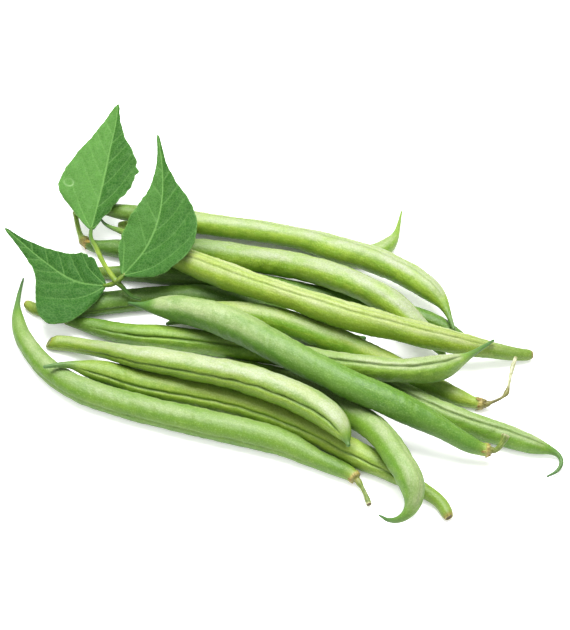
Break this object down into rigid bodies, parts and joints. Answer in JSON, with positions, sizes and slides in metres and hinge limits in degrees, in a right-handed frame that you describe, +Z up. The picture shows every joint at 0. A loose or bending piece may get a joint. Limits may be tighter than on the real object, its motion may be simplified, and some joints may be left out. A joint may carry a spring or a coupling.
{
  "type": "green bean bundle",
  "caption": "Bundle of fresh green bean pods heaped loosely in a low pile, with a sprig of bean leaves laid across one end.",
  "frame": {"origin": "middle of the pile's outline, on the surface that it lies on", "axes": "+Z up, +X along the pods from the leafy end to the tail end, +Y towards the back of the pile, where the leaflets point"},
  "size_m": [0.1782, 0.1575, 0.0334],
  "materials": {
    "pod": "satin",
    "leaf": "matte"
  },
  "bodies": {
    "root": {"pod_front_left": "pod", "pod_front_long": "pod", "pod_front_nub": "pod", "pod_middle_curl": "pod", "pod_top_diagonal": "pod", "pod_top_long": "pod", "pod_back_middle": "pod", "pod_back_upper": "pod", "pod_back_under": "pod", "pod_middle_right": "pod", "pod_left_blunt": "pod", "pod_bottom_back": "pod", "pod_hook": "pod", "pod_right_tail": "pod", "leaf_sprig": "leaf"}
  },
  "joints": []
}
